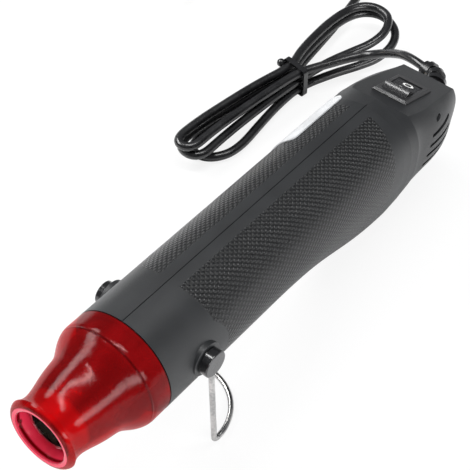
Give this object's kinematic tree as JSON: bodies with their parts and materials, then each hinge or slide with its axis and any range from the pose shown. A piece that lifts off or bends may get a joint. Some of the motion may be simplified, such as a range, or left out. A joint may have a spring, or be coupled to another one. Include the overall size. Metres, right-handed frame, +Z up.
{
  "type": "embossing heat tool",
  "caption": "Pistol-shaped embossing heat tool with a clear red nozzle shield, rocker switch and folding wire foot, standing with its cord tied in a hank.",
  "frame": {"origin": "bottom centre of the standing tool's box, cord left out: on the floor under the middle of the tool", "axes": "+X from the nozzle to the tail, +Y to the side where the cord lies, +Z up"},
  "size_m": [0.3308, 0.1866, 0.0725],
  "materials": {
    "housing_plastic": "satin with fine pips on the grip",
    "red_plastic": "clear red, glossy",
    "heater_steel": "bright",
    "mica": "matte",
    "heating_wire": "oxidised",
    "fuse_metal": "satin",
    "inner_plastic": "matte",
    "motor_metal": "plated",
    "board_laminate": "matte",
    "black_plastic": "glossy",
    "switch_plastic": "satin",
    "rocker_plastic": "satin gloss",
    "terminal_brass": "plated",
    "stand_steel": "nickel plated",
    "label_silver": "satin foil",
    "cord_rubber": "semi gloss"
  },
  "bodies": {
    "tool": {"housing_left": "housing_plastic", "housing_right": "housing_plastic", "nozzle_shield": "red_plastic", "heater_tube": "heater_steel", "mica_sleeve": "mica", "mica_core": "mica", "heating_coil": "heating_wire", "thermal_fuse": "fuse_metal", "air_duct": "inner_plastic", "motor_can": "motor_metal", "motor_end_cap": "inner_plastic", "rectifier_board": "board_laminate", "diodes": "black_plastic", "switch_body": "switch_plastic", "switch_terminals": "terminal_brass", "label_plate": "label_silver", "cord_boot": "cord_rubber", "housing_screws": "heater_steel", "cord_lead": "cord_rubber", "cord_hank": "cord_rubber", "cord_tie": "cord_rubber", "cord_end": "cord_rubber", "plug_body": "black_plastic", "plug_pins": "terminal_brass"},
    "stand": {"stand_wire": "stand_steel", "stand_knob_left": "black_plastic", "stand_knob_right": "black_plastic"},
    "rocker": {"rocker": "rocker_plastic"},
    "fan_rotor": {"fan": "inner_plastic", "motor_shaft": "heater_steel", "motor_rotor": "motor_metal"}
  },
  "joints": [
    {"name": "stand_fold", "type": "hinge", "parent": "tool", "child": "stand", "pos_m": [-0.06269, 0.00035, 0.05145], "axis": [0, 1, 0], "range_deg": [-28, 96]},
    {"name": "rocker_tilt", "type": "hinge", "parent": "tool", "child": "rocker", "pos_m": [0.0837, 0.00035, 0.04482], "axis": [0, 1, 0], "range_deg": [-24, 0]},
    {"name": "fan_spin", "type": "hinge", "parent": "tool", "child": "fan_rotor", "pos_m": [-0.021, 0.00035, 0.04618], "axis": [0.9959, 0, -0.0909], "continuous": true}
  ]
}
